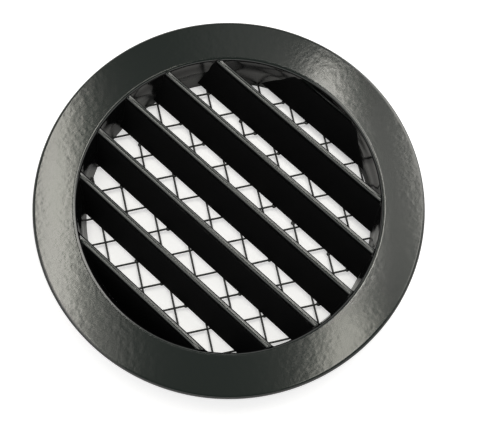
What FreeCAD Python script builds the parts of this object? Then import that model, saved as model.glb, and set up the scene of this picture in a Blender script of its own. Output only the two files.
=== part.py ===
import FreeCAD, Part
import Sketcher
import math
import os

# Round wall vent grille for a 150 mm duct: a flanged collar pressed from one sheet and
# drawn in a little toward its back rim, seven inclined louvre slats across its bore, and
# a welded wire mesh behind them.
#
# Frame, in millimetres: +Z points out of the face that shows in the room, +Y is up
# when the grille is on the wall, and X runs along the slats. The origin is the centre
# of the plane in which the flange's turned edge meets the wall.

SIZES = [
    ("duct_bore", 150.0, "inside diameter of the duct that takes the spigot"),
    ("spigot_clearance", 1.0, "gap all round between spigot and duct"),
    ("sheet_gauge", 1.0, "sheet of the flange and collar"),
    ("flange_diameter", 188.0, "outside of the flange's turned edge"),
    ("flange_height", 3.0, "front face of the flange above the wall"),
    ("edge_bend", 0.5, "hidden side of the bend where the flange turns down to the wall"),
    ("throat_bend", 0.8, "hidden side of the bend where the flange turns into the collar"),
    ("collar_length", 22.0, "from the wall plane to the collar's back rim"),
    ("collar_land", 4.0, "straight part of the collar behind the wall plane"),
    ("collar_taper", 2.0, "how far the collar draws in from there to its back rim"),
    ("slat_count", 7, "louvre slats across the bore"),
    ("low_slat_inset", 0.6, "lowest slat's nose centre, in from the bore's edge"),
    ("top_slat_inset", 11.6, "highest slat's nose centre, in from the bore's edge"),
    ("slat_setback", 0.6, "slat noses behind the flange's front face"),
    ("slat_angle", 66.5, "slope of the slats from the face, in degrees"),
    ("slat_width", 22.8, "from nose tip to back edge, along the slope"),
    ("slat_gauge", 1.0, "sheet of the slats"),
    ("hem_width", 5.0, "length of the strip folded back under the nose"),
    ("hem_gap", 1.0, "space left between the two layers of the open hem"),
    ("wall_gap", 0.1, "slat and wire ends to the collar's inner wall"),
    ("mesh_pitch", 13.3, "from wire to wire, both ways"),
    ("wire_diameter", 1.0, "wire of the mesh"),
    ("weld_sink", 0.2, "how far crossing wires sink into each other"),
    ("mesh_gap", 0.1, "slat back edges to the front wires"),
    ("mesh_turn", 55.5, "front wires from the slats' direction, in degrees"),
    ("mesh_shift_front", 1.5, "first front wire from the axis"),
    ("mesh_shift_back", 9.85, "first back wire from the axis"),
]

DERIVED = [
    ("flange_radius", "flange_diameter / 2", "outside of the turned edge"),
    ("spigot_radius", "duct_bore / 2 - spigot_clearance", "outside of the collar"),
    ("bore_radius", "spigot_radius - sheet_gauge", "inside of the collar"),
    ("rim_radius", "bore_radius - collar_taper", "inside of the collar's back rim"),
    ("edge_radius", "edge_bend + sheet_gauge", "radius that shows on the edge bend"),
    ("throat_radius", "throat_bend + sheet_gauge", "radius that shows on the throat bend"),
    ("flange_back", "flange_height - sheet_gauge", "hidden face of the flange"),
    ("slat_span", "bore_radius * 2 - low_slat_inset - top_slat_inset", "first nose to last"),
    ("slat_pitch", "slat_span / (slat_count - 1)", "from one slat to the next, up the face"),
    ("first_slat", "low_slat_inset - bore_radius", "height of the lowest slat's nose centre"),
    ("hem_inside", "hem_gap / 2", "inside radius of the fold"),
    ("hem_outside", "hem_inside + slat_gauge", "outside radius of the fold"),
    ("slat_run", "slat_width - hem_outside", "nose centre to back edge"),
    ("slat_height", "flange_height - slat_setback - hem_outside", "nose centre"),
    ("slat_drop", "slat_run * sin(slat_angle * 1deg)", "nose centre down to the back"),
    ("slat_rise", "hem_inside * cos(slat_angle * 1deg)", "lower skin over that line"),
    ("slat_back", "slat_height - slat_drop + slat_rise", "lowest edge of a slat"),
    ("trim_radius", "bore_radius - wall_gap", "reach of slats in the straight part"),
    ("rim_trim_radius", "rim_radius - wall_gap", "reach of slats and wires at the back rim"),
    ("wire_radius", "wire_diameter / 2", "radius of the wire"),
    ("front_wires", "slat_back - mesh_gap - wire_radius", "height of the front wires"),
    ("back_wires", "front_wires - wire_diameter + weld_sink", "height of the back wires"),
]


def fill_sheet(doc):
    """Put the driving sizes and what follows from them into the document's sheet."""
    sheet = doc.addObject("Spreadsheet::Sheet", "sizes")
    rows = [(name, str(value), note) for name, value, note in SIZES]
    rows += [(name, "=" + formula, note) for name, formula, note in DERIVED]
    for number, (name, content, note) in enumerate(rows, start=1):
        sheet.set(f"A{number}", name)
        sheet.set(f"B{number}", content)
        sheet.setAlias(f"B{number}", name)
        sheet.set(f"C{number}", note)
    doc.recompute()
    return sheet


def origin_feature(body, role):
    """The body's own origin plane or axis of that role."""
    return next(f for f in body.Origin.OriginFeatures if f.Role == role)


def add_sketch(body, name, role):
    """An empty sketch on one of the body's origin planes."""
    sketch = body.newObject("Sketcher::SketchObject", name)
    sketch.AttachmentSupport = (origin_feature(body, role), [""])
    sketch.MapMode = "FlatFace"
    return sketch


def hold(sketch, name, expression, kind, *arguments):
    """Add one dimension to a sketch and drive it from the sheet."""
    index = sketch.addConstraint(Sketcher.Constraint(kind, *arguments))
    sketch.renameConstraint(index, name)
    sketch.setExpression(f"Constraints.{name}", expression)


def point(across, up):
    return FreeCAD.Vector(across, up, 0)


def line(sketch, start, end):
    return sketch.addGeometry(Part.LineSegment(point(*start), point(*end)), False)


def arc(sketch, centre, radius, first, last):
    """An arc that runs anticlockwise between two angles in degrees."""
    circle = Part.Circle(point(*centre), FreeCAD.Vector(0, 0, 1), radius)
    curve = Part.ArcOfCircle(circle, math.radians(first), math.radians(last))
    return sketch.addGeometry(curve, False)


START = 1
END = 2
CENTRE = 3
ORIGIN = (-1, 1)
ACROSS_AXIS = -1


def make_flanged_collar(doc, sheet):
    """Flange, turned edge and collar: one bent profile, spun about the duct's axis."""
    rim = sheet.flange_radius
    bore = sheet.bore_radius
    back = sheet.rim_radius
    gauge = sheet.sheet_gauge
    front = sheet.flange_height
    land = -sheet.collar_land
    foot = -sheet.collar_length
    edge = sheet.edge_radius
    throat = sheet.throat_radius

    body = doc.addObject("PartDesign::Body", "flanged_collar")
    body.Label = "flanged_collar"
    profile = add_sketch(body, "collar_profile", "XZ_Plane")
    edge_centre = (rim - edge, front - edge)
    throat_centre = (bore + throat, front - throat)

    lip_outside = line(profile, (rim, 0), (rim, front - edge))
    edge_outside = arc(profile, edge_centre, edge, 0, 90)
    face = line(profile, (rim - edge, front), (bore + throat, front))
    throat_outside = arc(profile, throat_centre, throat, 90, 180)
    bore_wall = line(profile, (bore, front - throat), (bore, land))
    bore_taper = line(profile, (bore, land), (back, foot))
    back_rim = line(profile, (back, foot), (back + gauge, foot))
    spigot_taper = line(profile, (back + gauge, foot), (bore + gauge, land))
    spigot_wall = line(profile, (bore + gauge, land), (bore + gauge, front - throat))
    throat_flat = line(profile, (bore + gauge, front - throat), (bore + throat, front - gauge))
    face_back = line(profile, (bore + throat, front - gauge), (rim - edge, front - gauge))
    edge_flat = line(profile, (rim - edge, front - gauge), (rim - gauge, front - edge))
    lip_inside = line(profile, (rim - gauge, front - edge), (rim - gauge, 0))
    lip_end = line(profile, (rim - gauge, 0), (rim, 0))

    for first, first_end, second, second_end in (
        (lip_outside, END, edge_outside, START),
        (edge_outside, END, face, START),
        (face, END, throat_outside, START),
        (throat_outside, END, bore_wall, START),
    ):
        profile.addConstraint(
            Sketcher.Constraint("Tangent", first, first_end, second, second_end)
        )
    for first, second in (
        (bore_wall, bore_taper),
        (bore_taper, back_rim),
        (back_rim, spigot_taper),
        (spigot_taper, spigot_wall),
        (spigot_wall, throat_flat),
        (throat_flat, face_back),
        (face_back, edge_flat),
        (edge_flat, lip_inside),
        (lip_inside, lip_end),
        (lip_end, lip_outside),
    ):
        profile.addConstraint(Sketcher.Constraint("Coincident", first, END, second, START))
    for upright in (lip_outside, bore_wall, spigot_wall, lip_inside):
        profile.addConstraint(Sketcher.Constraint("Vertical", upright))
    for level in (face, back_rim, face_back, lip_end):
        profile.addConstraint(Sketcher.Constraint("Horizontal", level))
    profile.addConstraint(Sketcher.Constraint("PointOnObject", lip_end, END, ACROSS_AXIS))
    # The straight part ends at one level on both sides of the sheet, and the hidden side
    # of each bend is one flat, between the levels where the arc begins.
    for kind, corner, corner_end, bend, bend_end in (
        ("Horizontal", spigot_wall, START, bore_wall, END),
        ("Horizontal", throat_flat, START, throat_outside, END),
        ("Vertical", throat_flat, END, throat_outside, START),
        ("Vertical", edge_flat, START, edge_outside, END),
        ("Horizontal", edge_flat, END, edge_outside, START),
    ):
        profile.addConstraint(
            Sketcher.Constraint(kind, corner, corner_end, bend, bend_end)
        )

    hold(profile, "edge_outside", "sizes.edge_radius", "Radius", edge_outside, edge)
    hold(profile, "throat_outside", "sizes.throat_radius", "Radius", throat_outside, throat)
    hold(profile, "flange_radius", "sizes.flange_radius",
         "DistanceX", *ORIGIN, lip_outside, START, rim)
    hold(profile, "lip_radius", "sizes.flange_radius - sizes.sheet_gauge",
         "DistanceX", *ORIGIN, lip_inside, END, rim - gauge)
    hold(profile, "bore_radius", "sizes.bore_radius",
         "DistanceX", *ORIGIN, bore_wall, END, bore)
    hold(profile, "spigot_radius", "sizes.spigot_radius",
         "DistanceX", *ORIGIN, spigot_wall, START, bore + gauge)
    hold(profile, "rim_inside", "sizes.rim_radius",
         "DistanceX", *ORIGIN, back_rim, START, back)
    hold(profile, "rim_outside", "sizes.rim_radius + sizes.sheet_gauge",
         "DistanceX", *ORIGIN, back_rim, END, back + gauge)
    hold(profile, "collar_land", "sizes.collar_land",
         "DistanceY", bore_wall, END, *ORIGIN, -land)
    hold(profile, "flange_height", "sizes.flange_height",
         "DistanceY", *ORIGIN, face, START, front)
    hold(profile, "flange_back", "sizes.flange_back",
         "DistanceY", *ORIGIN, face_back, START, front - gauge)
    hold(profile, "collar_length", "sizes.collar_length",
         "DistanceY", back_rim, START, *ORIGIN, -foot)

    spin = body.newObject("PartDesign::Revolution", "collar_revolution")
    spin.Profile = profile
    spin.ReferenceAxis = (profile, ["V_Axis"])
    spin.Angle = 360
    body.Tip = spin
    return body


def trim_to_bore(body, name, sheet):
    """Cut away all that lies outside the collar's inner wall, less the gap at the wall."""
    reach = sheet.trim_radius
    rim_reach = sheet.rim_trim_radius
    land = -sheet.collar_land
    foot = -sheet.collar_length
    far = sheet.bore_radius * 3
    top = sheet.bore_radius

    waste = add_sketch(body, name + "_trim", "XZ_Plane")
    corners = (
        (reach, top), (reach, land), (rim_reach, foot), (rim_reach, -top), (far, -top), (far, top)
    )
    sides = [line(waste, a, b) for a, b in zip(corners, corners[1:] + corners[:1])]
    straight, taper, below, bottom, outside, above = sides
    for first, second in zip(sides, sides[1:] + sides[:1]):
        waste.addConstraint(Sketcher.Constraint("Coincident", first, END, second, START))
    for upright in (straight, below, outside):
        waste.addConstraint(Sketcher.Constraint("Vertical", upright))
    for level in (bottom, above):
        waste.addConstraint(Sketcher.Constraint("Horizontal", level))
    for label, expression, kind, arguments in (
        ("reach", "sizes.trim_radius", "DistanceX", (*ORIGIN, straight, START, reach)),
        ("rim_reach", "sizes.rim_trim_radius", "DistanceX", (*ORIGIN, taper, END, rim_reach)),
        ("outside", "sizes.bore_radius * 3", "DistanceX", (*ORIGIN, outside, START, far)),
        ("land", "sizes.collar_land", "DistanceY", (taper, START, *ORIGIN, -land)),
        ("foot", "sizes.collar_length", "DistanceY", (taper, END, *ORIGIN, -foot)),
        ("bottom", "sizes.bore_radius", "DistanceY", (bottom, START, *ORIGIN, top)),
        ("top", "sizes.bore_radius", "DistanceY", (*ORIGIN, straight, START, top)),
    ):
        hold(waste, label, expression, kind, *arguments)

    cut = body.newObject("PartDesign::Groove", name + "_ends")
    cut.Profile = waste
    cut.ReferenceAxis = (waste, ["V_Axis"])
    cut.Angle = 360
    body.Tip = cut


def slat_point(sheet, along, over):
    """A point of a slat's section: down the slope from the nose centre, and over it."""
    slope = math.radians(sheet.slat_angle)
    return (
        along * math.cos(slope) + over * math.sin(slope),
        over * math.cos(slope) - along * math.sin(slope),
    )


def draw_spine(section, sheet):
    """The slat's centre line, from the nose centre down the slope to the back edge."""
    run = sheet.slat_run
    spine = section.addGeometry(
        Part.LineSegment(point(0, 0), point(*slat_point(sheet, run, 0))), True
    )
    section.addConstraint(Sketcher.Constraint("Coincident", spine, START, *ORIGIN))
    hold(section, "slope", "360deg - sizes.slat_angle * 1deg",
         "Angle", ACROSS_AXIS, START, spine, START, -math.radians(sheet.slat_angle))
    hold(section, "run", "sizes.slat_run", "Distance", spine, run)
    return spine


def draw_hemmed_section(section, sheet):
    """Section of a slat whose front edge is folded back flat under itself."""
    run = sheet.slat_run
    inside = sheet.hem_inside
    outside = sheet.hem_outside
    hem = sheet.hem_width - outside
    over_angle = 90 - sheet.slat_angle
    spine = draw_spine(section, sheet)

    def leg(first, second):
        return line(section, slat_point(sheet, *first), slat_point(sheet, *second))

    top = leg((0, outside), (run, outside))
    back = leg((run, outside), (run, inside))
    under = leg((run, inside), (0, inside))
    fold_inside = arc(section, (0, 0), inside, over_angle, over_angle + 180)
    hem_inner = leg((0, -inside), (hem, -inside))
    hem_end = leg((hem, -inside), (hem, -outside))
    hem_outer = leg((hem, -outside), (0, -outside))
    fold_outside = arc(section, (0, 0), outside, over_angle, over_angle + 180)

    for first, first_end, second, second_end in (
        (under, END, fold_inside, START),
        (fold_inside, END, hem_inner, START),
        (hem_outer, END, fold_outside, END),
        (fold_outside, START, top, START),
    ):
        section.addConstraint(
            Sketcher.Constraint("Tangent", first, first_end, second, second_end)
        )
    for first, second in ((top, back), (back, under), (hem_inner, hem_end), (hem_end, hem_outer)):
        section.addConstraint(Sketcher.Constraint("Coincident", first, END, second, START))
    for skin in (top, under, hem_inner, hem_outer):
        section.addConstraint(Sketcher.Constraint("Parallel", skin, spine))
    for end in (back, hem_end):
        section.addConstraint(Sketcher.Constraint("Perpendicular", end, spine))
    for fold in (fold_inside, fold_outside):
        section.addConstraint(Sketcher.Constraint("Coincident", fold, CENTRE, *ORIGIN))
    section.addConstraint(Sketcher.Constraint("PointOnObject", spine, END, back))
    hold(section, "fold_inside", "sizes.hem_inside", "Radius", fold_inside, inside)
    hold(section, "fold_outside", "sizes.hem_outside", "Radius", fold_outside, outside)
    hold(section, "hem_width", "sizes.hem_width - sizes.hem_outside",
         "Distance", hem_inner, hem)


def draw_plain_section(section, sheet):
    """Section of a slat that reaches the wall before its nose: sheet with no hem."""
    run = sheet.slat_run
    inside = sheet.hem_inside
    outside = sheet.hem_outside
    spine = draw_spine(section, sheet)
    corners = ((0, inside), (0, outside), (run, outside), (run, inside))
    places = [slat_point(sheet, *corner) for corner in corners]
    sides = [line(section, a, b) for a, b in zip(places, places[1:] + places[:1])]
    nose, top, back, under = sides

    for first, second in zip(sides, sides[1:] + sides[:1]):
        section.addConstraint(Sketcher.Constraint("Coincident", first, END, second, START))
    for skin in (top, under):
        section.addConstraint(Sketcher.Constraint("Parallel", skin, spine))
    for end in (nose, back):
        section.addConstraint(Sketcher.Constraint("Perpendicular", end, spine))
    section.addConstraint(Sketcher.Constraint("PointOnObject", *ORIGIN, nose))
    section.addConstraint(Sketcher.Constraint("PointOnObject", spine, END, back))
    hold(section, "upper_skin", "sizes.hem_outside", "Distance", *ORIGIN, top, outside)
    hold(section, "lower_skin", "sizes.hem_inside", "Distance", *ORIGIN, under, inside)


def make_slat(doc, sheet, number):
    """One louvre slat, counted from the lowest on the wall, its ends cut to the collar."""
    steps = number - 1
    nose = sheet.first_slat + steps * sheet.slat_pitch
    name = f"slat_{number}"
    body = doc.addObject("PartDesign::Body", name)
    body.Label = name

    section = add_sketch(body, name + "_section", "YZ_Plane")
    section.setExpression(
        "AttachmentOffset.Base.x", f"sizes.first_slat + {steps} * sizes.slat_pitch"
    )
    section.setExpression("AttachmentOffset.Base.y", "sizes.slat_height")
    if abs(nose) + sheet.hem_outside > sheet.trim_radius:
        draw_plain_section(section, sheet)
    else:
        draw_hemmed_section(section, sheet)

    strip = body.newObject("PartDesign::Pad", name + "_strip")
    strip.Profile = section
    strip.SideType = "Symmetric"
    strip.setExpression("Length", "sizes.bore_radius * 2")
    trim_to_bore(body, name, sheet)
    return body


def draw_wire_section(section, centre, radius):
    """Section of one wire in eight flats: the wires then weld flat on flat."""
    corner_radius = radius / math.cos(math.radians(22.5))
    ring = section.addGeometry(
        Part.Circle(point(*centre), FreeCAD.Vector(0, 0, 1), corner_radius), True
    )
    corners = []
    for step in range(8):
        turn = math.radians(67.5 + 45 * step)
        across = centre[0] + corner_radius * math.cos(turn)
        corners.append((across, centre[1] + corner_radius * math.sin(turn)))
    flats = [line(section, a, b) for a, b in zip(corners, corners[1:] + corners[:1])]
    for first, second in zip(flats, flats[1:] + flats[:1]):
        section.addConstraint(Sketcher.Constraint("Coincident", first, END, second, START))
    for flat in flats:
        section.addConstraint(Sketcher.Constraint("PointOnObject", flat, START, ring))
    for flat in flats[1:]:
        section.addConstraint(Sketcher.Constraint("Equal", flats[0], flat))
    section.addConstraint(Sketcher.Constraint("Horizontal", flats[0]))
    hold(section, "corner_radius", "sizes.wire_radius / cos(22.5deg)",
         "Radius", ring, corner_radius)
    return ring


def add_wires(body, sheet, name, plane, height, shift):
    """A row of parallel wires: one drawn near the collar's wall, then repeated."""
    pitch = sheet.mesh_pitch
    reach = sheet.rim_trim_radius - sheet.wire_radius
    first = math.ceil((-reach - getattr(sheet, shift)) / pitch)
    last = math.floor((reach - getattr(sheet, shift)) / pitch)
    place = getattr(sheet, shift) + first * pitch

    section = add_sketch(body, name + "_section", plane)
    ring = draw_wire_section(section, (place, getattr(sheet, height)), sheet.wire_radius)
    hold(section, "first_wire", f"({-first}) * sizes.mesh_pitch - sizes.{shift}",
         "DistanceX", ring, CENTRE, *ORIGIN, -place)
    hold(section, "wire_height", f"-sizes.{height}",
         "DistanceY", ring, CENTRE, *ORIGIN, -getattr(sheet, height))

    wire = body.newObject("PartDesign::Pad", name + "_wire")
    wire.Profile = section
    wire.SideType = "Symmetric"
    wire.setExpression("Length", "sizes.bore_radius * 2")
    body.Tip = wire
    row = body.newObject("PartDesign::LinearPattern", name + "_row")
    row.Originals = [wire]
    row.Direction = (section, ["H_Axis"])
    row.Mode = "Spacing"
    row.setExpression("Offset", "sizes.mesh_pitch")
    row.Occurrences = last - first + 1
    body.Tip = row


def make_mesh(doc, sheet):
    """Welded mesh in two layers of straight wires, cut round to drop into the collar."""
    body = doc.addObject("PartDesign::Body", "wire_mesh")
    body.Label = "wire_mesh"
    add_wires(body, sheet, "front", "YZ_Plane", "front_wires", "mesh_shift_front")
    add_wires(body, sheet, "back", "XZ_Plane", "back_wires", "mesh_shift_back")
    trim_to_bore(body, "mesh", sheet)
    body.Placement = FreeCAD.Placement(
        FreeCAD.Vector(0, 0, 0), FreeCAD.Rotation(FreeCAD.Vector(0, 0, 1), sheet.mesh_turn)
    )
    body.setExpression("Placement.Rotation.Angle", "sizes.mesh_turn * 1deg")
    return body


def check_document(doc):
    """Stop if any object of the document failed to rebuild."""
    doc.recompute()
    for item in doc.Objects:
        if "Invalid" in item.State or "Error" in item.State:
            raise RuntimeError(f"{item.Label} failed: {item.State}")


def write_pieces(pieces):
    """Write each piece to its own file, named after the piece."""
    os.makedirs("parts", exist_ok=True)
    for piece in pieces:
        shape = piece.Shape
        if shape.isNull() or not shape.isValid():
            raise RuntimeError(f"{piece.Label} has no valid shape")
        if len(shape.Solids) != 1:
            raise RuntimeError(f"{piece.Label} is in {len(shape.Solids)} pieces")
        shape.exportStep(f"parts/{piece.Label}.step")
        print(piece.Label, "volume", round(shape.Volume, 1), "mm3")


doc = FreeCAD.newDocument("wall_vent_grille")
sheet = fill_sheet(doc)
pieces = [make_flanged_collar(doc, sheet)]
for number in range(1, int(sheet.slat_count) + 1):
    pieces.append(make_slat(doc, sheet, number))
pieces.append(make_mesh(doc, sheet))
check_document(doc)
write_pieces(pieces)
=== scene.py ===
# %% [markdown]
# # A round wall vent grille, dressed for its portrait
#
# The real thing is pressed and folded from thin steel sheet and powder coated gloss
# black. It lies face up on a white table, and a camera looks down on it from about 17
# degrees off its axis. This lesson loads the measured model, sets up the camera, the
# table and the lamps, and then gives each piece its true surface.

import math
import random

import bmesh
import bpy
from mathutils import Matrix, Vector


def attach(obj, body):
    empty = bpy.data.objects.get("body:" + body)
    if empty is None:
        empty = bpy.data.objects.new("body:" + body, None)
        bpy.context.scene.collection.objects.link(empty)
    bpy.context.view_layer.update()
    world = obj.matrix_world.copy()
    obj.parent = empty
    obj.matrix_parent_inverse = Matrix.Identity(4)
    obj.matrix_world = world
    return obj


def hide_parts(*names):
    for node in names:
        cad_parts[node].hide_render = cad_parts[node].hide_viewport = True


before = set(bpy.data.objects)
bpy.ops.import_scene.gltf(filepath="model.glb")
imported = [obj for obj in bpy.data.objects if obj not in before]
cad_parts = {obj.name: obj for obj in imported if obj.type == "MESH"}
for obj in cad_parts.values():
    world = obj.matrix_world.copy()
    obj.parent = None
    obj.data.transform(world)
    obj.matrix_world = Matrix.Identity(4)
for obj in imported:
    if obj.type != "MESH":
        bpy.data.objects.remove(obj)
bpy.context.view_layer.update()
print("pieces:", sorted(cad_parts))

# %% [markdown]
# ## Working in millimetres
#
# The drawing is in millimetres and Blender's scene is in metres. It would be easy to
# scale the scene, but lamps and bump depth depend on true size, so the scene stays in
# metres and every drawn size is multiplied by one constant.

# %% The unit, and the sizes that the pieces share
MM = 0.001

GAUGE = 1.0
FACE_HEIGHT = 3.0
FLANGE_RADIUS = 94.0
BORE_RADIUS = 73.0
RIM_RADIUS = 71.3
TABLE_HEIGHT = -22.0
print("flange", 2 * FLANGE_RADIUS, "mm across, bore", 2 * BORE_RADIUS, "mm")

# %% [markdown]
# ## The camera
#
# The picture was taken with a lens of moderate length, from about 48 cm away at the size
# chosen here. Fitting the flange's two circles, the slats and the wires gave the camera's
# place and turn, and they are set here as three axes, because the camera is also rolled a
# little and a look-at helper would lose that roll.

# %% Place the camera
CAMERA_PLACE = Vector((-0.09258, 0.10340, 0.45546))
VIEW_DIRECTION = Vector((0.17855, -0.21608, -0.95991))
PICTURE_UP = Vector((0.65263, -0.70409, 0.27988))

lens = bpy.data.cameras.new("bench_camera")
lens.lens = 74.2
lens.sensor_width = 36.0
lens.sensor_fit = "HORIZONTAL"
camera = bpy.data.objects.new("bench_camera", lens)
bpy.context.scene.collection.objects.link(camera)
back = -VIEW_DIRECTION.normalized()
right = PICTURE_UP.cross(back).normalized()
up = back.cross(right)
turn = Matrix((right, up, back)).transposed()
camera.matrix_world = Matrix.Translation(CAMERA_PLACE) @ turn.to_4x4()
bpy.context.scene.camera = camera
bpy.context.scene.view_settings.view_transform = "Standard"
print("camera is", round(CAMERA_PLACE.length, 3), "m from the grille")

# %% [markdown]
# ## Colours and shader nodes
#
# Colours are written as the hex values that a screen shows, and Blender's shaders work
# in linear light, so one function turns the one into the other. A second small function
# adds a shader node, sets it up and wires it, which keeps each material readable.

# %% Helpers for materials
def linear(code):
    """A hex colour as linear red, green, blue and alpha."""
    parts = [int(code[i:i + 2], 16) / 255 for i in (1, 3, 5)]
    parts = [p / 12.92 if p <= 0.04045 else ((p + 0.055) / 1.055) ** 2.4 for p in parts]
    return (*parts, 1.0)


def add(tree, kind, settings=None, values=None, links=None):
    """Add one node: its settings, the values of its inputs, and what feeds them."""
    node = tree.nodes.new(kind)
    for name, value in (settings or {}).items():
        setattr(node, name, value)
    for name, value in (values or {}).items():
        node.inputs[name].default_value = value
    for name, source in (links or {}).items():
        tree.links.new(source, node.inputs[name])
    return node


def new_material(name):
    """An empty node material, with its output waiting for a shader."""
    material = bpy.data.materials.new(name)
    material.use_nodes = True
    material.node_tree.nodes.clear()
    return material, material.node_tree


# %% [markdown]
# ## The table
#
# The grille lies on a plain white board. The board is painted a pale white rather than
# pure white, so that shadows still show on it. A little light of its own lifts the
# board to paper white for the camera. It adds nothing to the light in the room. The
# glossy coat's mirror sees an eighth of it, a painted reflection whose share was fitted
# to how bright the collar's wall looks in the picture. The lift is painted shade and
# light: weaker under the bore, where the real board is shaded, and stronger beyond the
# flange, where it pales the grille's shadow.

# %% Lay the white table
# These three are in metres, since the shader measures in them.
TABLE_HALF = 3.0
SHADE_INNER, SHADE_OUTER = 0.075, 0.092
# The board's glow: painted shade under the bore, painted light beyond the flange.
LIFT_UNDER_BORE, LIFT_OPEN = 0.43, 0.60
# The share of that glow the glossy coat mirrors: a painted reflection on the collar's wall.
LIFT_SEEN_IN_COAT = 0.12


def make_table():
    mesh = bpy.data.meshes.new("white_table")
    shape = bmesh.new()
    half = TABLE_HALF
    height = TABLE_HEIGHT * MM
    corners = [shape.verts.new((x, y, height)) for x, y in
               ((-half, -half), (half, -half), (half, half), (-half, half))]
    shape.faces.new(corners)
    shape.to_mesh(mesh)
    shape.free()
    table = bpy.data.objects.new("white_table", mesh)
    bpy.context.scene.collection.objects.link(table)
    return table


material, tree = new_material("white painted board")
paint = add(tree, "ShaderNodeBsdfDiffuse", values={"Color": linear("#ececec")})
rays = add(tree, "ShaderNodeLightPath")
spot = add(tree, "ShaderNodeTexCoord")
away = add(tree, "ShaderNodeVectorMath", {"operation": "LENGTH"},
           links={0: spot.outputs["Object"]})
# Painted shade and light: less glow under the bore, more beyond the flange, which pales the
# shadow there.
painted_shade_and_light_lift = add(tree, "ShaderNodeMapRange", {"interpolation_type": "SMOOTHSTEP"},
                 {"From Min": SHADE_INNER, "From Max": SHADE_OUTER,
                  "To Min": LIFT_UNDER_BORE, "To Max": LIFT_OPEN},
                 {"Value": away.outputs["Value"]})
# Painted reflection: mirror rays see an eighth of the board's glow.
painted_reflection_share = add(tree, "ShaderNodeMath", {"operation": "MULTIPLY"},
                {1: LIFT_SEEN_IN_COAT}, {0: rays.outputs["Is Glossy Ray"]})
seen = add(tree, "ShaderNodeMath", {"operation": "MAXIMUM"},
           links={0: rays.outputs["Is Camera Ray"], 1: painted_reflection_share.outputs[0]})
lift = add(tree, "ShaderNodeMath", {"operation": "MULTIPLY"},
           links={0: painted_shade_and_light_lift.outputs[0], 1: seen.outputs[0]})
glow = add(tree, "ShaderNodeEmission", values={"Color": (1, 1, 1, 1)},
           links={"Strength": lift.outputs[0]})
both = add(tree, "ShaderNodeAddShader", links={0: paint.outputs[0], 1: glow.outputs[0]})
add(tree, "ShaderNodeOutputMaterial", links={"Surface": both.outputs[0]})

table = make_table()
table.data.materials.append(material)
print("table at", TABLE_HEIGHT, "mm, where the collar's back rim stands")

# %% [markdown]
# ## The lamps
#
# Gloss black shows little colour of its own: what the eye reads as its shape is the
# room mirrored in it. The flat flange mirrors a ring of the ceiling, one metre up, that
# lies to the far side of the camera. The lamps are soft boxes placed where that ring is
# bright, with dark ceiling between them where it is dark. Four of the six are narrow
# strips that cross the ring, as the edges of tall windows do. Their places, sizes and
# brightness were fitted to this one picture. The light is slightly warm.

# %% Light the bench
def soft_box(name, place, size, radiance, turn, tint):
    """A rectangular lamp of a given brightness, in metres: it faces the bench, and is
    turned about the upright axis, in degrees."""
    lamp = bpy.data.lights.new(name, "AREA")
    lamp.shape = "RECTANGLE"
    lamp.size, lamp.size_y = size
    lamp.energy = radiance * size[0] * size[1] * math.pi
    lamp.color = tint
    item = bpy.data.objects.new(name, lamp)
    item.rotation_euler = (0, 0, math.radians(turn))
    item.location = place
    bpy.context.scene.collection.objects.link(item)
    return item


WARM = (1.0, 0.98, 0.91)
KEY_TINT = (1.0, 0.98, 0.89)
STRIP_TINT = (1.0, 0.98, 0.88)
soft_box("key_window", (0.359, -0.005, 1.000), (0.055, 0.595), 10.8, turn=46, tint=KEY_TINT)
soft_box("key_spill", (0.415, 0.155, 1.030), (0.471, 0.369), 1.3, turn=55, tint=WARM)
soft_box("right_window", (0.100, -0.297, 1.000), (0.270, 0.070), 15.0, turn=-33, tint=WARM)
soft_box("right_strip", (0.127, -0.387, 1.015), (0.040, 0.336), 14.4, turn=47, tint=WARM)
soft_box("far_window", (-0.097, -0.555, 1.000), (0.298, 0.596), 5.6, turn=49, tint=WARM)
soft_box("left_strip", (-0.118, -0.123, 1.000), (0.247, 0.063), 8.4, turn=-54,
         tint=STRIP_TINT)

# %% [markdown]
# ## The room that the bends mirror
#
# The rounded bends of the sheet and the folded noses of the slats mirror far more of
# the room than the flat flange does. Each nose shows two bright lines, one for a window
# high on either side, and the throat shows a thin line for the pale wall low down. These
# are soft patches in the world, given as a direction and a width in degrees. They were
# fitted to this one picture and are no measured room. Only mirror rays see them, so they
# shape the shine and leave the light on the board as it was.

# %% Hang the room around it
def toward(tree, direction, heading, inner, outer, radiance):
    """A soft round patch of the room, in degrees about a heading, as seen in a mirror."""
    aim = Vector(heading).normalized()
    dot = add(tree, "ShaderNodeVectorMath", {"operation": "DOT_PRODUCT"}, {1: aim},
              {0: direction})
    patch = add(tree, "ShaderNodeMapRange", {"interpolation_type": "SMOOTHSTEP"},
                {"From Min": math.cos(math.radians(outer)),
                 "From Max": math.cos(math.radians(inner)), "To Max": radiance},
                {"Value": dot.outputs["Value"]})
    return patch.outputs[0]


PATCHES = (
    ((0.36, 0.33, 0.87), 4, 12, 4.5),
    ((0.22, 0.62, 0.75), 4, 13, 3.6),
    ((-0.11, -0.84, 0.54), 12, 27, 5.0),
    ((0.34, -0.31, 0.89), 4, 13, 0.10),
    ((0.26, -0.38, 0.885), 1, 7, 0.45),
    ((0.07, -0.31, 0.945), 3, 9, 0.7))
LOW_BAND_RADIANCE = 2.0
FILL_STRENGTH = 0.56

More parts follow.
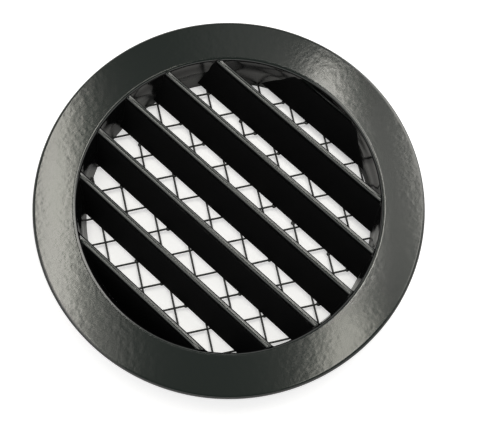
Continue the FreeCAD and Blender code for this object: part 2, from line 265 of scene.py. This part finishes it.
world = bpy.data.worlds.new("dim_room")
world.use_nodes = True
tree = world.node_tree
tree.nodes.clear()
spot = add(tree, "ShaderNodeTexCoord")
direction = spot.outputs["Generated"]
split = add(tree, "ShaderNodeSeparateXYZ", links={0: direction})
ramp = add(tree, "ShaderNodeValToRGB", links={0: split.outputs["Z"]})
ramp.color_ramp.elements[0].position = 0.05
ramp.color_ramp.elements[0].color = (0.8, 0.8, 0.8, 1)
ramp.color_ramp.elements[1].position = 0.6
ramp.color_ramp.elements[1].color = (0.31, 0.39, 0.34, 1)
low = add(tree, "ShaderNodeFloatCurve", links={"Value": split.outputs["Z"]})
curve = low.mapping.curves[0]
for point, place in zip(curve.points, ((0.0, 0.0), (1.0, 0.0))):
    point.location = place
for place in ((0.26, 0.0), (0.34, 0.9), (0.42, 0.9), (0.52, 0.0)):
    curve.points.new(*place)
low.mapping.update()
mirrored = add(tree, "ShaderNodeMath", {"operation": "MULTIPLY"}, {1: LOW_BAND_RADIANCE},
               {0: low.outputs[0]})
for heading, inner, outer, radiance in PATCHES:
    patch = toward(tree, direction, heading, inner, outer, radiance)
    mirrored = add(tree, "ShaderNodeMath", {"operation": "ADD"},
                   links={0: mirrored.outputs[0], 1: patch})
rays = add(tree, "ShaderNodeLightPath")
shine = add(tree, "ShaderNodeMath", {"operation": "MULTIPLY"},
            links={0: mirrored.outputs[0], 1: rays.outputs["Is Glossy Ray"]})
room = add(tree, "ShaderNodeBackground", values={"Strength": 1.0},
           links={"Color": ramp.outputs["Color"]})
windows = add(tree, "ShaderNodeBackground", values={"Color": (1.0, 0.985, 0.94, 1)},
              links={"Strength": shine.outputs[0]})
glossy = add(tree, "ShaderNodeAddShader", links={0: room.outputs[0], 1: windows.outputs[0]})
fill = add(tree, "ShaderNodeBackground",
           values={"Color": (1, 1, 1, 1), "Strength": FILL_STRENGTH})
whole = add(tree, "ShaderNodeMixShader", links={
    0: rays.outputs["Is Glossy Ray"], 1: fill.outputs[0], 2: glossy.outputs[0]})
paper = add(tree, "ShaderNodeBackground", values={"Color": (1, 1, 1, 1), "Strength": 1.0})
either = add(tree, "ShaderNodeMixShader", links={
    0: rays.outputs["Is Camera Ray"], 1: whole.outputs[0], 2: paper.outputs[0]})
add(tree, "ShaderNodeOutputWorld", links={"Surface": either.outputs[0]})
bpy.context.scene.world = world
print(len(PATCHES), "patches in the mirrored room, fill light", FILL_STRENGTH)

# %% [markdown]
# ## Gloss black powder coat
#
# Powder coat is a plastic skin, baked on. As it melts it levels almost smooth, and
# what is left is orange peel: ripples one to three millimetres across and a few
# hundredths of a millimetre high. They break the edge of every reflection. The skin is a
# polyester resin with an IOR of about 1.55, and the ripples are two sizes of noise put
# into a bump. The coat grows rougher down in the collar, where less powder is taken to
# land: that roughness was fitted to the picture.

# %% Mix the gloss coat
def orange_peel(tree, sizes_and_heights):
    """Ripples of several sizes in millimetres, stacked into one bump."""
    place = add(tree, "ShaderNodeTexCoord")
    normal = None
    for size, height in sizes_and_heights:
        ripples = add(tree, "ShaderNodeTexNoise",
                      values={"Scale": 1 / (size * MM), "Detail": 1.0, "Roughness": 0.45},
                      links={"Vector": place.outputs["Object"]})
        bump = add(tree, "ShaderNodeBump",
                   values={"Strength": 1.0, "Distance": height * MM},
                   links={"Height": ripples.outputs["Fac"]})
        if normal is not None:
            tree.links.new(normal, bump.inputs["Normal"])
        normal = bump.outputs["Normal"]
    return normal


material, tree = new_material("gloss black powder coat")
ripples = orange_peel(tree, ((3.2, 0.024), (1.4, 0.008)))
spot = add(tree, "ShaderNodeTexCoord")
split = add(tree, "ShaderNodeSeparateXYZ", links={0: spot.outputs["Object"]})
depth = add(tree, "ShaderNodeMapRange", {"interpolation_type": "SMOOTHSTEP"},
            {"From Min": -14.0 * MM, "From Max": -2.0 * MM, "To Min": 0.28, "To Max": 0.12},
            {"Value": split.outputs["Z"]})
coat = add(tree, "ShaderNodeBsdfPrincipled",
           values={"Base Color": linear("#0c0d0d"), "IOR": 1.55},
           links={"Normal": ripples, "Roughness": depth.outputs[0]})
add(tree, "ShaderNodeOutputMaterial", links={"Surface": coat.outputs[0]})
gloss_coat = material
print("mixed:", gloss_coat.name)

# %% [markdown]
# ## The coat on the slats, with painted shade
#
# One material gives the slats two copies of the powder coat, blended by height: the
# gloss coat on the upper half of the fold's round nose, and below it a near-black matt
# copy that mirrors almost nothing. The matt copy is painted shade: it keeps the faces
# between the slats as dark as the shade in the recess makes them.

# %% Mix the coat of the slats
material, tree = new_material("powder coat, painted shade in the recess")
ripples = orange_peel(tree, ((2.4, 0.006),))
spot = add(tree, "ShaderNodeTexCoord")
split = add(tree, "ShaderNodeSeparateXYZ", links={0: spot.outputs["Object"]})
# Mask of the painted shade: the matt copy below the nose's middle, gloss above it.
edge = add(tree, "ShaderNodeMapRange", {"interpolation_type": "SMOOTHSTEP"},
           {"From Min": -0.2 * MM, "From Max": 0.6 * MM, "To Min": 0.0, "To Max": 1.0},
           {"Value": split.outputs["Z"]})
gloss = add(tree, "ShaderNodeBsdfPrincipled",
            values={"Base Color": linear("#0c0d0d"), "Roughness": 0.13, "IOR": 1.55},
            links={"Normal": ripples})
# Painted shade: this matt copy mirrors almost nothing, so the recess between the slats stays
# dark.
matt = add(tree, "ShaderNodeBsdfPrincipled",
           values={"Base Color": linear("#0a0a0b"), "Roughness": 0.7,
                   "Specular IOR Level": 0.05, "IOR": 1.5},
           links={"Normal": ripples})
blend = add(tree, "ShaderNodeMixShader",
            links={0: edge.outputs[0], 1: matt.outputs[0], 2: gloss.outputs[0]})
add(tree, "ShaderNodeOutputMaterial", links={"Surface": blend.outputs[0]})
slat_coat_with_painted_shade = material
print("mixed:", slat_coat_with_painted_shade.name)

# %% [markdown]
# ## The mesh's finish
#
# The mesh is welded from drawn steel wire and coated black with the rest. On so thin a
# wire the coat is rough and half matt.

# %% Mix the coat of the wires
material, tree = new_material("coated steel wire")
ripples = orange_peel(tree, ((0.8, 0.004),))
coat = add(tree, "ShaderNodeBsdfPrincipled",
           values={"Base Color": linear("#0d0d0e"), "Roughness": 0.38, "IOR": 1.5},
           links={"Normal": ripples})
add(tree, "ShaderNodeOutputMaterial", links={"Surface": coat.outputs[0]})
wire_coat = material
print("mixed:", wire_coat.name)

# %% [markdown]
# ## The flange and collar
#
# One press stroke makes the flange, turns its edge down to the wall and rolls its
# throat into the collar, which draws in a little toward the back. The measured model
# has nearly the same form: its collar draws in on a plain cone, and this one sooner, by
# at most 0.8 mm. Gloss paint also shows every facet of a bend, so the
# profile is drawn again with finer arcs and carried round ring by ring. A screw modifier
# could do it; rings by hand let the sharp edges be marked where the sheet was cut. A few
# extra rings on the flat keep the bends' shading from leaking into it.

# %% Draw the pressed profile
def bend(centre, radius, first, last, steps):
    """Points along a bend, in degrees, ends included."""
    points = []
    for step in range(steps + 1):
        turn = math.radians(first + (last - first) * step / steps)
        points.append((centre[0] + radius * math.cos(turn),
                       centre[1] + radius * math.sin(turn)))
    return points


DRAW_IN_TOP = 1.2
DRAW_IN_BOTTOM = -8.0
NARROW_RADIUS = 71.8


def wall_radius(height):
    """The collar's inner wall: drawn in below the throat, then nearly straight."""
    if height >= DRAW_IN_TOP:
        return BORE_RADIUS
    if height <= DRAW_IN_BOTTOM:
        return (NARROW_RADIUS + (RIM_RADIUS - NARROW_RADIUS) * (DRAW_IN_BOTTOM - height)
                / (DRAW_IN_BOTTOM - TABLE_HEIGHT))
    t = (DRAW_IN_TOP - height) / (DRAW_IN_TOP - DRAW_IN_BOTTOM)
    return BORE_RADIUS + (NARROW_RADIUS - BORE_RADIUS) * t * t * (3 - 2 * t)


EDGE_BEND = 1.5
THROAT_BEND = 1.8

edge_centre = (FLANGE_RADIUS - EDGE_BEND, FACE_HEIGHT - EDGE_BEND)
throat_centre = (BORE_RADIUS + THROAT_BEND, FACE_HEIGHT - THROAT_BEND)
pressed_profile = [(FLANGE_RADIUS, 0.0)]
pressed_profile += bend(edge_centre, EDGE_BEND, 0, 90, 12)
pressed_profile += [(r, FACE_HEIGHT) for r in (92.35, 89.0, 83.0, 78.0, 74.95)]
pressed_profile += bend(throat_centre, THROAT_BEND, 90, 180, 14)
wall_levels = (0.2, -0.8, -1.8, -2.8, -3.8, -4.8, -5.8, -6.8, -8.0, -12.0, -17.0,
               TABLE_HEIGHT)
pressed_profile += [(wall_radius(z), z) for z in wall_levels]
pressed_profile += [(wall_radius(z) + GAUGE, z) for z in reversed(wall_levels)]
pressed_profile += bend(throat_centre, THROAT_BEND - GAUGE, 180, 90, 8)
pressed_profile += bend(edge_centre, EDGE_BEND - GAUGE, 90, 0, 6)
pressed_profile += [(FLANGE_RADIUS - GAUGE, 0.0)]
print("profile of", len(pressed_profile), "points")


# %% Spin it into the flanged collar
CUT_EDGE_ANGLE = math.radians(38)
COLLAR_TURNS = 480


def object_from(shape, name, coat):
    """Turn a worked shape into a named piece with its coat and soft shading."""
    mesh = bpy.data.meshes.new(name)
    bmesh.ops.recalc_face_normals(shape, faces=shape.faces)
    for face in shape.faces:
        face.smooth = True
    for line in shape.edges:
        if len(line.link_faces) == 2 and line.calc_face_angle(0) > CUT_EDGE_ANGLE:
            line.smooth = False
    shape.to_mesh(mesh)
    shape.free()
    mesh.materials.append(coat)
    piece = bpy.data.objects.new(name, mesh)
    bpy.context.scene.collection.objects.link(piece)
    return piece


def bridge(shape, rings):
    """Faces from each ring of points to the next."""
    for here, there in zip(rings, rings[1:]):
        for k in range(len(here)):
            n = (k + 1) % len(here)
            shape.faces.new((here[k], here[n], there[n], there[k]))


def close_ends(shape, rings):
    shape.faces.new(rings[0])
    shape.faces.new(rings[-1])


def spin_profile(profile, turns):
    shape = bmesh.new()
    rings = []
    for step in range(turns):
        angle = 2 * math.pi * step / turns
        ring = [shape.verts.new((r * math.cos(angle) * MM, r * math.sin(angle) * MM, z * MM))
                for r, z in profile]
        rings.append(ring)
    bridge(shape, rings + rings[:1])
    return shape


collar = object_from(spin_profile(pressed_profile, COLLAR_TURNS),
                     "pressed_collar", gloss_coat)
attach(collar, "root")
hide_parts("flanged_collar")
print("collar has", len(collar.data.polygons), "faces")

# %% [markdown]
# ## The louvre slats
#
# Each slat is a strip whose front edge is folded back flat under itself, set on a
# slope, and cut to the round of the bore. Its section is drawn once. Because every
# point of the section lies on its own line across the bore, the cut ends need no
# boolean: each line simply stops at the collar's wall. Powder gathers in the corner
# between a slat's end and the wall, so the last third of a millimetre flares out into
# a small fillet.

# %% Draw the slats' section
SLAT_SLOPE = 66.5
SLAT_WIDTH = 22.8
HEM_WIDTH = 5.0
FOLD_OUTSIDE = 1.5
FOLD_INSIDE = 0.5
NOSE_HEIGHT = 0.9
FIRST_NOSE = -72.4
SLAT_PITCH = 22.3


def on_slope(along, over):
    """A point down the slope from the nose's centre, and over the slat's middle line."""
    slope = math.radians(SLAT_SLOPE)
    return (along * math.cos(slope) + over * math.sin(slope),
            over * math.cos(slope) - along * math.sin(slope))


def hemmed_section():
    run = SLAT_WIDTH - FOLD_OUTSIDE
    hem = HEM_WIDTH - FOLD_OUTSIDE
    lean = 90 - SLAT_SLOPE
    points = [on_slope(run * k / 10, FOLD_OUTSIDE) for k in range(1, 11)]
    points += [on_slope(run * k / 10, FOLD_INSIDE) for k in range(10, 0, -1)]
    points += bend((0, 0), FOLD_INSIDE, lean, lean + 180, 8)
    points += [on_slope(hem, -FOLD_INSIDE), on_slope(hem, -FOLD_OUTSIDE)]
    points += bend((0, 0), FOLD_OUTSIDE, lean + 180, lean, 28)
    return points


def plain_section():
    run = SLAT_WIDTH - FOLD_OUTSIDE
    return ([on_slope(run * k / 14, FOLD_OUTSIDE) for k in range(15)]
            + [on_slope(run * k / 14, FOLD_INSIDE) for k in range(14, -1, -1)])


# %% Cut and place the slats
FILLET = 0.35
SLAT_TO_WALL = 0.01
SLAT_COUNT = 7


def grown(section, amount):
    """The same section, moved outward by an amount: each point along its own normal."""
    points = []
    for k, (y, z) in enumerate(section):
        before = section[k - 1]
        after = section[(k + 1) % len(section)]
        step = math.hypot(after[0] - before[0], after[1] - before[1])
        points.append((y - amount * (after[1] - before[1]) / step,
                       z + amount * (after[0] - before[0]) / step))
    return points


def cut_slat(section, nose):
    """A slat across the bore: each line of the section ends on the collar's wall."""
    shape = bmesh.new()
    flared = grown(section, FILLET)
    inboard = 2 * FILLET
    stations = [(-1, 0, flared), (-1, inboard / 3, grown(section, FILLET / 3))]
    stations += [(-1 + k / 8, inboard * (1 - k / 8), section) for k in range(8)]
    stations += [(k / 8, inboard * k / 8, section) for k in range(9)]
    stations += [(1, inboard / 3, grown(section, FILLET / 3)), (1, 0, flared)]
    rows = []
    for side, short, outline in stations:
        row = []
        for y, z in outline:
            across = nose + y
            wall = wall_radius(NOSE_HEIGHT + z) - SLAT_TO_WALL
            reach = math.sqrt(max(wall ** 2 - across ** 2, 0.01))
            at = side * reach - math.copysign(min(short, reach), side) if side else 0.0
            row.append(shape.verts.new((at * MM, across * MM, (NOSE_HEIGHT + z) * MM)))
        rows.append(row)
    bridge(shape, rows)
    close_ends(shape, rows)
    return shape


for number in range(1, SLAT_COUNT + 1):
    nose = FIRST_NOSE + (number - 1) * SLAT_PITCH
    section = plain_section() if number == 1 else hemmed_section()
    slat = object_from(cut_slat(section, nose), f"folded_slat_{number}", slat_coat_with_painted_shade)
    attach(slat, "root")
    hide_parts(f"slat_{number}")
print(SLAT_COUNT, "slats,", SLAT_PITCH, "mm apart")

# %% [markdown]
# ## The welded mesh
#
# Two layers of nearly straight wire, welded where they cross and cut round to drop into the
# collar. A stretched tube for each wire keeps it round under the lamps. No wire is
# quite straight, so each gets a slow wander of a tenth of a millimetre, and each
# crossing gets a small squeezed nugget where the weld closed. Paint and weld metal also
# seem to gather in beads where a wire passes under a slat's back edge, at some places and
# not at others. About a third of those places get one, drawn at random.

# %% Draw the wires
WIRE_RADIUS = 0.5
WIRE_PITCH = 13.3
FRONT_LAYER = -19.03
BACK_LAYER = -19.83
MESH_TURN = math.radians(55.5)
FRONT_SHIFT = 1.5
BACK_SHIFT = 9.85
WIRE_TO_WALL = 0.1
WIRE_STEP = 1.6
NUGGET_SIDES = 10

wander = random.Random(7)


def wire_places(shift):
    """Distances of the wires from the axis, in millimetres."""
    reach = RIM_RADIUS - WIRE_TO_WALL - WIRE_RADIUS
    first = math.ceil((-reach - shift) / WIRE_PITCH)
    last = math.floor((reach - shift) / WIRE_PITCH)
    return [shift + k * WIRE_PITCH for k in range(first, last + 1)]


def wire_path(place, height, along, sideways):
    """A wire's centre line: straight, with a slow wander of its own."""
    half = math.sqrt(wall_radius(height) ** 2 - place ** 2) - WIRE_TO_WALL
    count = max(8, int(half * 2 / WIRE_STEP))
    phase = wander.uniform(0, 6.28)
    swing = wander.uniform(0.03, 0.12)
    waves = wander.uniform(1.2, 2.6)
    path = []
    for k in range(count + 1):
        t = -1 + 2 * k / count
        off = swing * math.sin(waves * t * math.pi + phase)
        spot = along * (t * half) + sideways * (place + off)
        path.append(Vector((spot.x, spot.y, height)))
    return path


def add_tube(shape, path, radius, sides=12):
    rings = []
    for k, here in enumerate(path):
        ahead = path[min(k + 1, len(path) - 1)] - path[max(k - 1, 0)]
        ahead.normalize()
        flat = Vector((0, 0, 1)).cross(ahead).normalized()
        rise = ahead.cross(flat)
        rings.append([
            shape.verts.new((here + flat * (radius * math.cos(2 * math.pi * s / sides))
                             + rise * (radius * math.sin(2 * math.pi * s / sides))) * MM)
            for s in range(sides)])
    bridge(shape, rings)
    close_ends(shape, rings)


def add_nugget(shape, place, wide, tall):
    """A squeezed lump round a point, such as that of a resistance weld."""
    rings = []
    for ring in range(1, 6):
        tilt = math.pi * ring / 6
        rings.append([
            shape.verts.new((place + Vector((
                wide * math.sin(tilt) * math.cos(2 * math.pi * s / NUGGET_SIDES),
                wide * math.sin(tilt) * math.sin(2 * math.pi * s / NUGGET_SIDES),
                tall * math.cos(tilt)))) * MM)
            for s in range(NUGGET_SIDES)])
    bridge(shape, rings)
    close_ends(shape, rings)


# %% Weld the mesh together
WELD_WIDE, WELD_TALL = (0.56, 0.72), 0.70
BEAD_WIDE, BEAD_TALL = (0.95, 1.25), 0.50
WELD_FROM_RIM, BEAD_FROM_RIM = 1.0, 3.0
FRONT_BEAD_SHARE, BACK_BEAD_SHARE = 0.55, 0.25

along_front = Vector((math.cos(MESH_TURN), math.sin(MESH_TURN), 0))
across_front = Vector((-math.sin(MESH_TURN), math.cos(MESH_TURN), 0))

shape = bmesh.new()
front_places = wire_places(FRONT_SHIFT)
back_places = wire_places(BACK_SHIFT)
for place in front_places:
    add_tube(shape, wire_path(place, FRONT_LAYER, along_front, across_front), WIRE_RADIUS)
for place in back_places:
    add_tube(shape, wire_path(place, BACK_LAYER, across_front, along_front), WIRE_RADIUS)
welds = 0
for front_place in front_places:
    for back_place in back_places:
        spot = across_front * front_place + along_front * back_place
        if spot.length < RIM_RADIUS - WELD_FROM_RIM:
            add_nugget(shape, Vector((spot.x, spot.y, (FRONT_LAYER + BACK_LAYER) / 2)),
                       wander.uniform(*WELD_WIDE), WELD_TALL)
            welds += 1

back_edge = on_slope(SLAT_WIDTH - FOLD_OUTSIDE, FOLD_OUTSIDE)[0]
layers = ((front_places, FRONT_LAYER, along_front, across_front, FRONT_BEAD_SHARE),
          (back_places, BACK_LAYER, across_front, along_front, BACK_BEAD_SHARE))
beads = 0
for number in range(SLAT_COUNT):
    edge = FIRST_NOSE + number * SLAT_PITCH + back_edge
    for places, height, along, sideways, share in layers:
        for place in places:
            spot = sideways * place + along * ((edge - sideways.y * place) / along.y)
            if spot.length < RIM_RADIUS - BEAD_FROM_RIM and wander.random() < share:
                add_nugget(shape, Vector((spot.x, spot.y, height)),
                           wander.uniform(*BEAD_WIDE), BEAD_TALL)
                beads += 1
wires = object_from(shape, "welded_wires", wire_coat)
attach(wires, "root")
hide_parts("wire_mesh")
print(len(front_places) + len(back_places), "wires,", welds, "welds and", beads, "beads")
